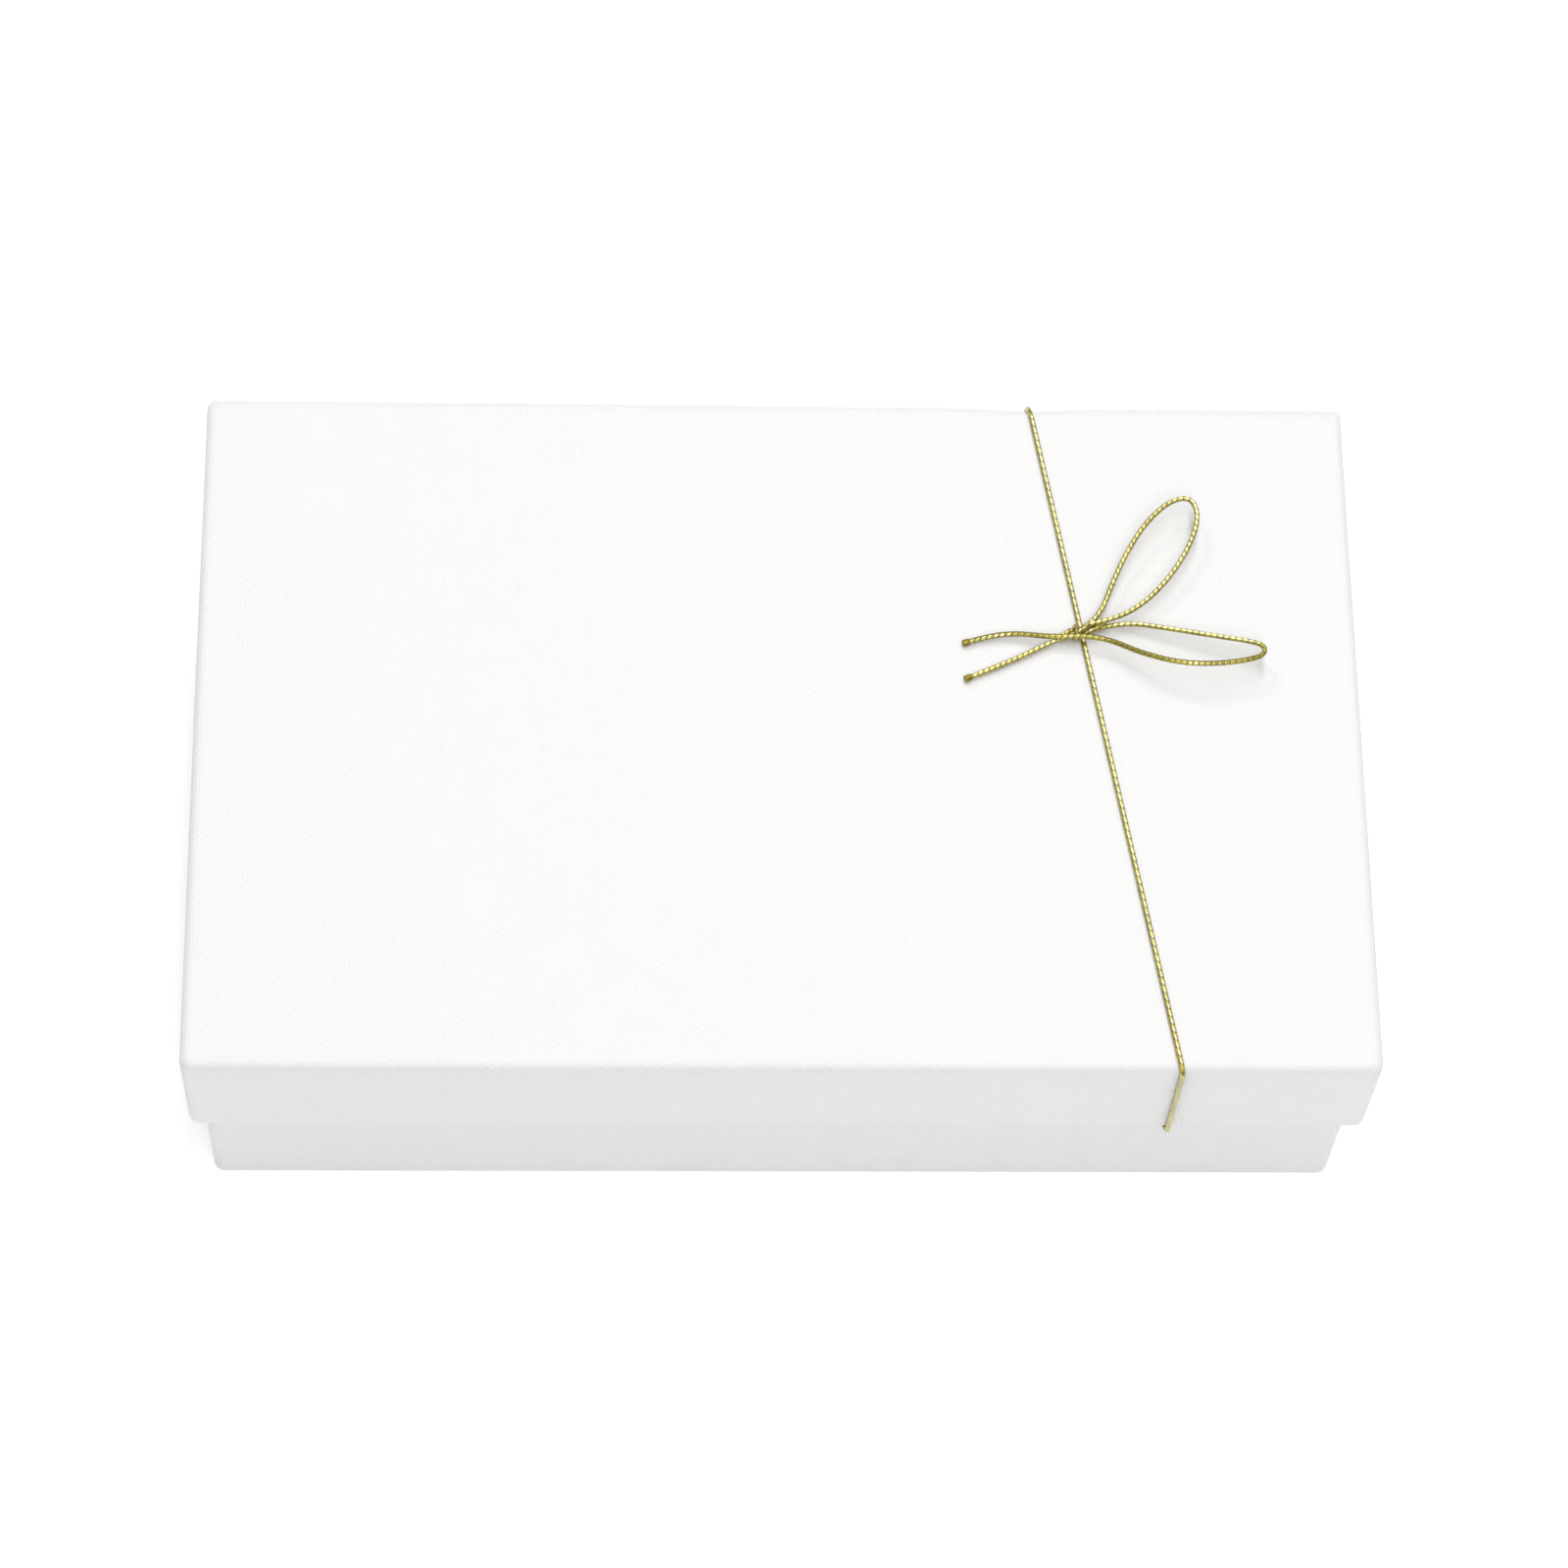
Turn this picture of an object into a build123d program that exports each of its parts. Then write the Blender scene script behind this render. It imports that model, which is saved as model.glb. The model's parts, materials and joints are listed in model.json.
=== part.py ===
from build123d import *
import math
import os

os.makedirs("parts", exist_ok=True)

# A two-piece rigid gift box for a jewelry set: a greyboard tray and a telescoping lid, both wrapped
# in linen-embossed paper, a foam pad with a flocked face, and an elastic gold cord round the lid
# with its bow. Origin at the middle of the underside, X along the box, Z up. Millimetres.

# Lid and base, measured over their paper
lid_length = 160.0
lid_width = 101.0
lid_depth = 20.0
box_height = 45.0
corner_radius = 1.5
top_edge_radius = 1.0
back_edge_radius = 2.4
foot_edge_radius = 0.9
rim_radius = 0.4

# Board and papers
board_thickness = 1.0
wrap_thickness = 0.2
lining_thickness = 0.15
stay_thickness = 0.1
lid_turn_in = 14.0
base_turn_in = 16.0
stay_leg = 12.0
stay_end_gap = 2.4
foot_sheet_thickness = 0.2
foot_sheet_inset = 1.5

# Elastic cord, where it goes round the lid, and the room it has
cord_diameter = 0.8
band_front_x = 52.9
band_back_x = 35.6
cord_clearance = 0.1
end_gap = 0.35

# Knot and tails
knot_y = 14.4
knot_length = 5.6
knot_in_cords = 2.5
band_end_in_cords = 0.65
knot_lift = 0.12
knot_heading = 18.0
tip_diameter = 0.95
tip_length = 1.0
tip_edge_radius = 0.2

# Foam pad and its flocked cover
pad_gap = 0.3
foam_height = 30.0
velvet_thickness = 0.6
velvet_side_flap = 9.0
pad_corner_radius = 1.0
slit_depth = 14.0
ring_slit = (26.0, 2.2)
earring_slit = (7.0, 1.6)
earring_spacing = 46.0
earring_y = -18.0
chain_slit = (13.0, 1.8)
chain_inset = (26.0, 18.0)
chain_heading = 45.0

# Planes and clear sizes that follow from the above
knot_diameter = knot_in_cords * cord_diameter
wall = 2 * wrap_thickness + board_thickness
rim_z = box_height - lid_depth
lid_board_length = lid_length - 2 * wrap_thickness
lid_board_width = lid_width - 2 * wrap_thickness
lid_board_low = rim_z + wrap_thickness
lid_board_high = box_height - wrap_thickness
lid_ceiling = lid_board_high - board_thickness
lid_underside = lid_ceiling - lining_thickness
lid_inner_length = lid_length - 2 * wall
lid_inner_width = lid_width - 2 * wall
side_gap = cord_diameter + 2 * cord_clearance
base_length = lid_inner_length - 2 * end_gap
base_width = lid_inner_width - 2 * side_gap
base_height = lid_underside - cord_diameter - 2 * cord_clearance
base_board_length = base_length - 2 * wrap_thickness
base_board_width = base_width - 2 * wrap_thickness
base_board_high = base_height - wrap_thickness
base_board_low = foot_sheet_thickness + wrap_thickness
base_floor = base_board_low + board_thickness
pad_seat = base_floor + lining_thickness
board_corner = corner_radius - wrap_thickness
pad_length = base_board_length - 2 * (board_thickness + lining_thickness + pad_gap)
pad_width = base_board_width - 2 * (board_thickness + lining_thickness + pad_gap)
pad_top = pad_seat + foam_height


def block(length, width, low, high, corner=0.0, mode=Mode.ADD):
    """A prism between two heights, with round upright edges if it has a corner radius."""
    with BuildSketch(Plane.XY.offset(low)) as outline:
        if corner > 0:
            RectangleRounded(length, width, corner)
        else:
            Rectangle(length, width)
    extrude(outline.sketch, amount=high - low, mode=mode)


def roll_back_edge(radius, width, top):
    """Rounds the lid's back top edge further than the others, where the paper is rolled over."""
    with BuildSketch(Plane.YZ) as waste:
        with Locations((width / 2 - radius / 2 + 0.25, top - radius / 2 + 0.25)):
            Rectangle(radius + 0.5, radius + 0.5)
        with Locations((width / 2 - radius, top - radius)):
            Circle(radius, mode=Mode.SUBTRACT)
    extrude(waste.sketch, amount=lid_length, both=True, mode=Mode.SUBTRACT)


def corner_stay(length, width, corner, low, high, side_x, side_y):
    """Paper angle glued round the outside of one board corner."""
    with BuildSketch(Plane.XY.offset(low)) as angle:
        RectangleRounded(length + 2 * stay_thickness, width + 2 * stay_thickness, corner + stay_thickness)
        RectangleRounded(length, width, corner, mode=Mode.SUBTRACT)
        with Locations((side_x * length / 2, side_y * width / 2)):
            Rectangle(2 * stay_leg, 2 * stay_leg, mode=Mode.INTERSECT)
    extrude(angle.sketch, amount=high - low)


def finish(piece, name):
    """Labels a piece and writes its file."""
    piece.part.label = name
    export_step(piece.part, f"parts/{name}.step")


corners = {"front_left": (-1, -1), "front_right": (1, -1), "back_left": (-1, 1), "back_right": (1, 1)}

# Lid board: one scored blank, a top and four walls open at the rim
with BuildPart() as lid_board:
    block(lid_board_length, lid_board_width, lid_board_low, lid_board_high, board_corner)
    fillet(lid_board.edges().group_by(Axis.Z)[-1], top_edge_radius - wrap_thickness)
    roll_back_edge(back_edge_radius - wrap_thickness, lid_board_width, lid_board_high)
    block(
        lid_board_length - 2 * board_thickness,
        lid_board_width - 2 * board_thickness,
        lid_board_low,
        lid_ceiling,
        mode=Mode.SUBTRACT,
    )
    fillet(lid_board.edges().group_by(Axis.Z)[0], rim_radius - wrap_thickness)
finish(lid_board, "lid_board")

lid_stays = []
for place, (side_x, side_y) in corners.items():
    with BuildPart() as lid_stay:
        corner_stay(
            lid_board_length,
            lid_board_width,
            board_corner,
            lid_board_low + stay_end_gap,
            lid_board_high - stay_end_gap,
            side_x,
            side_y,
        )
    finish(lid_stay, f"lid_stay_{place}")
    lid_stays.append(lid_stay)

# Lid wrap: the outer paper, rolled round the rim and turned in behind it
with BuildPart() as lid_wrap:
    block(lid_length, lid_width, rim_z, box_height, corner_radius)
    fillet(lid_wrap.edges().group_by(Axis.Z)[-1], top_edge_radius)
    roll_back_edge(back_edge_radius, lid_width, box_height)
    block(lid_inner_length, lid_inner_width, rim_z, lid_ceiling, mode=Mode.SUBTRACT)
    fillet(lid_wrap.edges().group_by(Axis.Z)[0], rim_radius)
    block(
        lid_board_length - 2 * board_thickness,
        lid_board_width - 2 * board_thickness,
        rim_z + lid_turn_in,
        lid_ceiling,
        mode=Mode.SUBTRACT,
    )
    add(lid_board.part, mode=Mode.SUBTRACT)
    for stay in lid_stays:
        add(stay.part, mode=Mode.SUBTRACT)
finish(lid_wrap, "lid_wrap")

# Lid liner: white paper over the ceiling and down to the turned-in edge
with BuildPart() as lid_liner:
    block(
        lid_board_length - 2 * board_thickness,
        lid_board_width - 2 * board_thickness,
        rim_z + lid_turn_in,
        lid_ceiling,
    )
    block(
        lid_board_length - 2 * (board_thickness + lining_thickness),
        lid_board_width - 2 * (board_thickness + lining_thickness),
        rim_z + lid_turn_in,
        lid_underside,
        mode=Mode.SUBTRACT,
    )
finish(lid_liner, "lid_liner")

# Base board: the tray, a floor and four walls open at the top
with BuildPart() as base_board:
    block(base_board_length, base_board_width, base_board_low, base_board_high, board_corner)
    fillet(base_board.edges().group_by(Axis.Z)[0], foot_edge_radius - wrap_thickness)
    block(
        base_board_length - 2 * board_thickness,
        base_board_width - 2 * board_thickness,
        base_floor,
        base_board_high,
        mode=Mode.SUBTRACT,
    )
    fillet(base_board.edges().group_by(Axis.Z)[-1], rim_radius - wrap_thickness)
finish(base_board, "base_board")

base_stays = []
for place, (side_x, side_y) in corners.items():
    with BuildPart() as base_stay:
        corner_stay(
            base_board_length,
            base_board_width,
            board_corner,
            base_board_low + stay_end_gap,
            base_board_high - stay_end_gap,
            side_x,
            side_y,
        )
    finish(base_stay, f"base_stay_{place}")
    base_stays.append(base_stay)

# Base wrap: one sheet under the floor, up the walls, over the rim and turned in
with BuildPart() as base_wrap:
    block(base_length, base_width, foot_sheet_thickness, base_height, corner_radius)
    fillet(base_wrap.edges().group_by(Axis.Z)[0], foot_edge_radius)
    block(base_length - 2 * wall, base_width - 2 * wall, base_floor, base_height, mode=Mode.SUBTRACT)
    fillet(base_wrap.edges().group_by(Axis.Z)[-1], rim_radius)
    block(
        base_board_length - 2 * board_thickness,
        base_board_width - 2 * board_thickness,
        base_floor,
        base_height - base_turn_in,
        mode=Mode.SUBTRACT,
    )
    add(base_board.part, mode=Mode.SUBTRACT)
    for stay in base_stays:
        add(stay.part, mode=Mode.SUBTRACT)
finish(base_wrap, "base_wrap")

# Foot sheet: plain paper pasted over the underside, which the box stands on
with BuildPart() as base_foot_sheet:
    block(
        base_length - 2 * foot_sheet_inset,
        base_width - 2 * foot_sheet_inset,
        0,
        foot_sheet_thickness,
    )
finish(base_foot_sheet, "base_foot_sheet")

# Base liner: white paper over the floor and up to the turned-in edge
with BuildPart() as base_liner:
    block(
        base_board_length - 2 * board_thickness,
        base_board_width - 2 * board_thickness,
        base_floor,
        base_height - base_turn_in,
    )
    block(
        base_board_length - 2 * (board_thickness + lining_thickness),
        base_board_width - 2 * (board_thickness + lining_thickness),
        pad_seat,
        base_height - base_turn_in,
        mode=Mode.SUBTRACT,
    )
finish(base_liner, "base_liner")


# Slits in the pad: one for a ring, two for earrings, two at the back for a chain
def slits(floor, top, mode):
    """Cuts the pad's slits down to a floor height."""
    chain_x = pad_length / 2 - chain_inset[0]
    chain_y = pad_width / 2 - chain_inset[1]
    with BuildSketch(Plane.XY.offset(top)) as openings:
        SlotOverall(*ring_slit)
        with Locations((-earring_spacing / 2, earring_y), (earring_spacing / 2, earring_y)):
            SlotOverall(*earring_slit)
        with Locations((-chain_x, chain_y)):
            SlotOverall(*chain_slit, rotation=-chain_heading)
        with Locations((chain_x, chain_y)):
            SlotOverall(*chain_slit, rotation=chain_heading)
    extrude(openings.sketch, amount=floor - top, mode=mode)


# Foam pad, a little narrower than the tray so that the flocked cover tucks down its sides
with BuildPart() as insert_foam:
    block(
        pad_length - 2 * velvet_thickness,
        pad_width - 2 * velvet_thickness,
        pad_seat,
        pad_top,
        pad_corner_radius,
    )
    slits(pad_top - slit_depth, pad_top, Mode.SUBTRACT)
finish(insert_foam, "insert_foam")

# Flocked cover: the show face and its four side flaps
with BuildPart() as insert_velvet:
    block(
        pad_length,
        pad_width,
        pad_top - velvet_side_flap,
        pad_top + velvet_thickness,
        pad_corner_radius + velvet_thickness,
    )
    fillet(insert_velvet.edges().group_by(Axis.Z)[-1], velvet_thickness / 2)
    block(
        pad_length - 2 * velvet_thickness,
        pad_width - 2 * velvet_thickness,
        pad_top - velvet_side_flap,
        pad_top,
        pad_corner_radius,
        mode=Mode.SUBTRACT,
    )
    slits(pad_top - velvet_side_flap, pad_top + velvet_thickness, Mode.SUBTRACT)
finish(insert_velvet, "insert_velvet")


def route_radii(points):
    """Each arc as large as its two runs allow."""
    vectors = [Vector(*point) for point in points]
    radii = []
    for before, here, after in zip(vectors, vectors[1:], vectors[2:]):
        turn = math.radians((here - before).get_angle(after - here))
        shorter = min((here - before).length, (after - here).length)
        radii.append(0.45 * shorter / math.tan(turn / 2))
    return radii


def cord_tube(points, name):
    """Sweeps a round cord along straight runs joined by tangent arcs, and returns its length."""
    radii = route_radii(points)
    with BuildLine() as path:
        FilletPolyline(*points, radius=radii)
    centre = path.wire()
    with BuildSketch(Plane(origin=centre @ 0, z_dir=centre % 0)) as section:
        Circle(cord_diameter / 2)
    sweep(section.sketch, path=centre)
    print(name, "length", round(centre.length, 1), "radii", [round(r, 1) for r in radii])
    return centre.length


def check_tube(piece, length, name):
    """Compares a tube's volume with its section times its length."""
    section_area = math.pi * (cord_diameter / 2) ** 2
    print(name, "volume over section times length", round(piece.part.volume / (section_area * length), 4))


# The cord round the lid runs in one upright plane, slanted across the box. Distances in that
# plane are along the slant and up; each bend is given by points spread evenly round it.
cord_stand = cord_diameter / 2 + cord_clearance
slant = math.atan2(band_front_x - band_back_x, lid_width)
band_middle_x = (band_front_x + band_back_x) / 2
outer_run = (lid_width / 2 + cord_stand) / math.cos(slant)
inner_run = (lid_inner_width / 2 - cord_stand) / math.cos(slant)
top_run = box_height + cord_stand
under_run = lid_underside - cord_stand
edge_bend = {-1: top_edge_radius + cord_stand, 1: back_edge_radius + cord_stand}
rim_bend = (outer_run - inner_run) / 2
inner_bend = rim_radius + cord_stand + cord_clearance
step_share = math.tan(math.radians(22.5))


def band_point(along, up):
    """Turns a place in the cord's upright plane into a point of the box."""
    return (band_middle_x - along * math.sin(slant), along * math.cos(slant), up)


def corner_points(along, up, bend, along_side, up_side):
    """Two points that spread a square corner of the route over two turns."""
    reach = bend * (1 - step_share)
    return [(along + along_side * reach, up), (along, up + up_side * reach)]


def band_half(side):
    """The route's points on one side of the box, from the lid's top round to its underside."""
    step = rim_bend * step_share
    over = corner_points(side * outer_run, top_run, edge_bend[side], -side, -1)
    rim = [
        (side * outer_run, rim_z - step),
        (side * (outer_run - rim_bend + step), rim_z - rim_bend),
        (side * (inner_run + rim_bend - step), rim_z - rim_bend),
        (side * inner_run, rim_z - step),
    ]
    under = corner_points(side * inner_run, under_run, inner_bend, -side, -1)
    return over + rim + under[::-1]


knot_along = knot_y / math.cos(slant)
knot_end = band_end_in_cords * cord_diameter
band_route = [(knot_along + knot_end, top_run)]
band_route += band_half(1)
band_route += band_half(-1)[::-1]
band_route += [(knot_along - knot_end, top_run)]
with BuildPart() as band_cord:
    band_length = cord_tube([band_point(*place) for place in band_route], "band_cord")
finish(band_cord, "band_cord")
check_tube(band_cord, band_length, "band_cord")

# Knot: the drawn-up wraps where the bow is tied, lying along the bow
knot_x = band_point(knot_along, 0)[0]
knot_direction = Vector(math.cos(math.radians(knot_heading)), math.sin(math.radians(knot_heading)), 0)
knot_middle = Vector(knot_x, knot_y, box_height + knot_diameter / 2 + knot_lift)
with BuildPart() as bow_knot:
    with BuildSketch(Plane(origin=knot_middle, x_dir=(0, 0, 1), z_dir=knot_direction)):
        Circle(knot_diameter / 2)
    extrude(amount=knot_length / 2, both=True)
    fillet(bow_knot.edges().filter_by(GeomType.CIRCLE), knot_diameter * 0.4)
finish(bow_knot, "bow_knot")

# Bow cords, each from the knot round its loop, back through the knot and out to its tail:
# places along and across the box and height of the cord's middle over the lid's top
upper_loop_route = [
    (42.6, 15.1, 1.8),
    (46.2, 15.7, 2.1),
    (50.2, 18.0, 2.1),
    (54.0, 21.9, 2.4),
    (56.9, 26.4, 2.9),
    (58.6, 31.1, 3.3),
    (57.6, 34.3, 3.5),
    (54.4, 33.6, 3.4),
    (50.8, 30.0, 3.1),
    (48.1, 25.5, 2.7),
    (46.0, 20.9, 2.1),
    (44.5, 16.9, 1.7),
    (41.4, 14.1, 1.3),
    (37.4, 12.8, 0.8),
    (32.4, 10.1, 0.65),
    (26.3, 7.5, 0.6),
]
right_loop_route = [
    (43.3, 14.7, 1.0),
    (47.6, 15.8, 1.2),
    (53.4, 14.6, 1.8),
    (60.2, 13.1, 2.4),
    (64.5, 12.2, 2.8),
    (66.7, 11.4, 3.1),
    (66.6, 9.7, 3.4),
    (64.3, 8.8, 3.7),
    (60.2, 8.0, 4.1),
    (55.0, 8.0, 4.2),
    (49.6, 10.0, 3.2),
    (45.6, 12.5, 2.2),
    (41.6, 13.3, 2.0),
    (37.4, 13.2, 1.6),
    (32.8, 14.0, 1.1),
    (29.0, 13.7, 0.8),
    (26.2, 12.9, 0.62),
]

for name, route in (("bow_cord_upper", upper_loop_route), ("bow_cord_right", right_loop_route)):
    with BuildPart() as bow_cord:
        bow_length = cord_tube([(x, y, box_height + up) for x, y, up in route], name)
    finish(bow_cord, name)
    check_tube(bow_cord, bow_length, name)

# Sealed ends on the two tails
for name, route in (("tail_tip_lower", upper_loop_route), ("tail_tip_upper", right_loop_route)):
    last, end = (Vector(x, y, box_height + up) for x, y, up in route[-2:])
    with BuildPart() as tail_tip:
        with BuildSketch(Plane(origin=end, z_dir=end - last)):
            Circle(tip_diameter / 2)
        extrude(amount=tip_length)
        fillet(tail_tip.edges().filter_by(GeomType.CIRCLE), tip_edge_radius)
    finish(tail_tip, name)
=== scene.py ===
import json
import math
import bmesh
import bpy
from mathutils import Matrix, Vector


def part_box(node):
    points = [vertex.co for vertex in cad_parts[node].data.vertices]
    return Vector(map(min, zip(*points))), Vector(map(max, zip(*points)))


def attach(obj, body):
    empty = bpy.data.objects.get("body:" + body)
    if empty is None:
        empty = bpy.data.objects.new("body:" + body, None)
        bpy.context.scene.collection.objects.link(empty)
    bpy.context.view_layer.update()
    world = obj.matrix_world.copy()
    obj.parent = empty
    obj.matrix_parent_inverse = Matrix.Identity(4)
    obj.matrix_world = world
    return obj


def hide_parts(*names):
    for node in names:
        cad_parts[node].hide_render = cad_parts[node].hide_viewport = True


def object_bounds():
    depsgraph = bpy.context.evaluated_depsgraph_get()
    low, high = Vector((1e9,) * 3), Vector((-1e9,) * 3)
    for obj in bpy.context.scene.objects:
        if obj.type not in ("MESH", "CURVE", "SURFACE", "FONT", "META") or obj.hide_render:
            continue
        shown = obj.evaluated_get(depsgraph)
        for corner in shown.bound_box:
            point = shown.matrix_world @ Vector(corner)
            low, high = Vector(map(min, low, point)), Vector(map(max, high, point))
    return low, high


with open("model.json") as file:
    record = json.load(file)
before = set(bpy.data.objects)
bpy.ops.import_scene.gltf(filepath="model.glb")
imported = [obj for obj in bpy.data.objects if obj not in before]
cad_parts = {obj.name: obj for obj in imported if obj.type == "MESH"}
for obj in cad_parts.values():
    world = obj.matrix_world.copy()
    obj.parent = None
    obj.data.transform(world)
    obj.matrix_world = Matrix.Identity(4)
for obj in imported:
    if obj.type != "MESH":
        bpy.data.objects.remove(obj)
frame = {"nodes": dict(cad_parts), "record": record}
cadLow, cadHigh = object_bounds()
scene = bpy.context.scene
mm = 0.001

# camera: high in front, a touch to the left, long lens
cameraSetup = {
    "place": (-0.0252, -0.2990, 0.6625),
    "tiltFromDown": 25.19,  # degrees
    "roll": -2.07,
    "turn": -0.65,
    "lens": 115.3,
}
cameraData = bpy.data.cameras.new("camera")
cameraData.lens = cameraSetup["lens"]
cameraData.sensor_width = 36
camera = bpy.data.objects.new("camera", cameraData)
camera.location = cameraSetup["place"]
camera.rotation_euler = [math.radians(cameraSetup[k]) for k in ("tiltFromDown", "roll", "turn")]
scene.collection.objects.link(camera)
scene.camera = camera
scene.view_settings.view_transform = "Standard"
scene.view_settings.look = "None"
print("camera set")


# small helpers
def hexColour(code):  # sRGB hex to linear
    parts = [int(code[i : i + 2], 16) / 255 for i in (1, 3, 5)]
    linear = [p / 12.92 if p <= 0.04045 else ((p + 0.055) / 1.055) ** 2.4 for p in parts]
    return (*linear, 1.0)


def addNode(tree, kind, inputs=None, **settings):  # one node with its settings and links
    node = tree.nodes.new(kind)
    for key, value in settings.items():
        setattr(node, key, value)
    for key, value in (inputs or {}).items():
        if isinstance(value, bpy.types.NodeSocket):
            tree.links.new(value, node.inputs[key])
        else:
            node.inputs[key].default_value = value
    return node


def startMaterial(name, **sockets):  # a material with one Principled shader, and its tree
    material = bpy.data.materials.new(name)
    material.use_nodes = True
    tree = material.node_tree
    shader = tree.nodes["Principled BSDF"]
    for key, value in sockets.items():
        shader.inputs[key.replace("_", " ")].default_value = value
    return material, tree, shader


def patternScale(size):  # a texture's scale from the size in millimetres of what it draws
    return 1 / (size * mm)


def rampBetween(tree, factor, low, high, colours):  # colour from one hex to another over a range
    ramp = addNode(tree, "ShaderNodeValToRGB", {0: factor})
    for stop, place, colour in zip(ramp.color_ramp.elements, (low, high), colours):
        stop.position = place
        stop.color = hexColour(colour)
    return ramp.outputs[0]


def newPiece(name, mesh, body, slot, material, *replaced):
    piece = bpy.data.objects.new(name, mesh)
    scene.collection.objects.link(piece)
    piece.data.materials.append(material)
    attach(piece, body)
    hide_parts(*replaced)
    return piece


# cord: elastic core with a flat gold foil strip wound round it
cordMake = {
    "diameter": 0.8,  # millimetres, as all lengths in these dictionaries unless a note says otherwise
    "clearance": 0.1,
    "bandPitch": 1.15,  # the foil's turns open up where the cord is stretched
    "bowPitch": 0.86,
    "seamDepth": 0.14,  # share of the radius
    "seamWidth": 0.075,  # share of a turn
    "crown": 0.03,  # share of the radius that a strip's edges lie below its middle
    "lap": 0.03,  # share of the radius that one edge lies below the other
    "facets": 6,  # the foil creases flat round the soft core
    "creased": 0.95,
    "ringsPerTurn": 10,
    "sides": 30,
}


def goldFoil():
    # Vacuum-metallised polyester foil under clear lacquer, slit to a flat strip and wound: a soft green
    # gold with small white glints, lightly crinkled, dull in the seams between its turns, with painted
    # shade darkening those seams.
    material, tree, shader = startMaterial(
        "woundGoldFoil", Metallic=1.0, Coat_Weight=1.0, Coat_Roughness=0.08, Coat_IOR=1.85
    )
    seam = addNode(tree, "ShaderNodeAttribute", attribute_name="seam").outputs["Fac"]
    place = addNode(tree, "ShaderNodeTexCoord").outputs["Object"]
    fine = {"Vector": place, "Scale": patternScale(0.3125), "Detail": 3.0}
    crinkle = addNode(tree, "ShaderNodeTexNoise", fine).outputs[0]
    broad = {"Vector": place, "Scale": patternScale(2.38), "Detail": 1.0}
    patch = addNode(tree, "ShaderNodeTexNoise", broad).outputs[0]
    foil = rampBetween(tree, patch, 0.35, 0.65, ("#A09420", "#BAAE3A"))
    # painted shade: the colour is mixed toward dark olive in the seams between the foil's turns
    colour = addNode(
        tree, "ShaderNodeMix", {0: seam, 6: foil, 7: hexColour("#3F3604")}, data_type="RGBA"
    )
    tree.links.new(colour.outputs[2], shader.inputs["Base Color"])
    rough = addNode(tree, "ShaderNodeMapRange", {0: seam, 3: 0.5, 4: 0.65})
    tree.links.new(rough.outputs[0], shader.inputs["Roughness"])
    # the strip's crinkles are about 0.3 mm across and 0.02 mm deep
    bump = addNode(tree, "ShaderNodeBump", {"Height": crinkle, "Strength": 0.25, "Distance": 0.02 * mm})
    tree.links.new(bump.outputs[0], shader.inputs["Normal"])
    return material


def sealedEnd():
    # Cord end singed to stop it unravelling: melted polyester and elastic, dark gold and waxy.
    material, tree, shader = startMaterial("singedCordEnd", Metallic=0.55, Roughness=0.42, IOR=1.5)
    place = addNode(tree, "ShaderNodeTexCoord").outputs["Object"]
    blobs = {"Vector": place, "Scale": patternScale(0.556), "Detail": 3.0}
    melt = addNode(tree, "ShaderNodeTexNoise", blobs).outputs[0]
    colour = rampBetween(tree, melt, 0.3, 0.7, ("#6B5E14", "#A39633"))
    tree.links.new(colour, shader.inputs["Base Color"])
    bump = addNode(tree, "ShaderNodeBump", {"Height": melt, "Strength": 0.8, "Distance": 0.08 * mm})
    tree.links.new(bump.outputs[0], shader.inputs["Normal"])
    return material


def followRoute(name, points):  # the smooth line that a cord's route controls, as points
    curve = bpy.data.curves.new(name, "CURVE")
    curve.dimensions = "3D"
    curve.resolution_u = 16
    spline = curve.splines.new("NURBS")
    spline.points.add(len(points) - 1)
    for point, place in zip(spline.points, points):
        point.co = (*place, 1)
    spline.order_u = 3
    spline.use_endpoint_u = True
    holder = bpy.data.objects.new(name, curve)
    scene.collection.objects.link(holder)
    bpy.context.view_layer.update()
    line = bpy.data.meshes.new_from_object(holder)
    places = [vertex.co.copy() for vertex in line.vertices]
    bpy.data.objects.remove(holder)
    bpy.data.meshes.remove(line)
    return places


def spacedAlong(line, step):  # the line again with points an even step apart
    lengths = [0.0]
    for a, b in zip(line, line[1:]):
        lengths.append(lengths[-1] + (b - a).length)
    count = max(2, round(lengths[-1] / step))
    spaced, index = [], 0
    for k in range(count + 1):
        at = lengths[-1] * k / count
        while index < len(line) - 2 and lengths[index + 1] < at:
            index += 1
        span = max(lengths[index + 1] - lengths[index], 1e-12)
        spaced.append(line[index].lerp(line[index + 1], (at - lengths[index]) / span))
    return spaced, lengths[-1]


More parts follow.
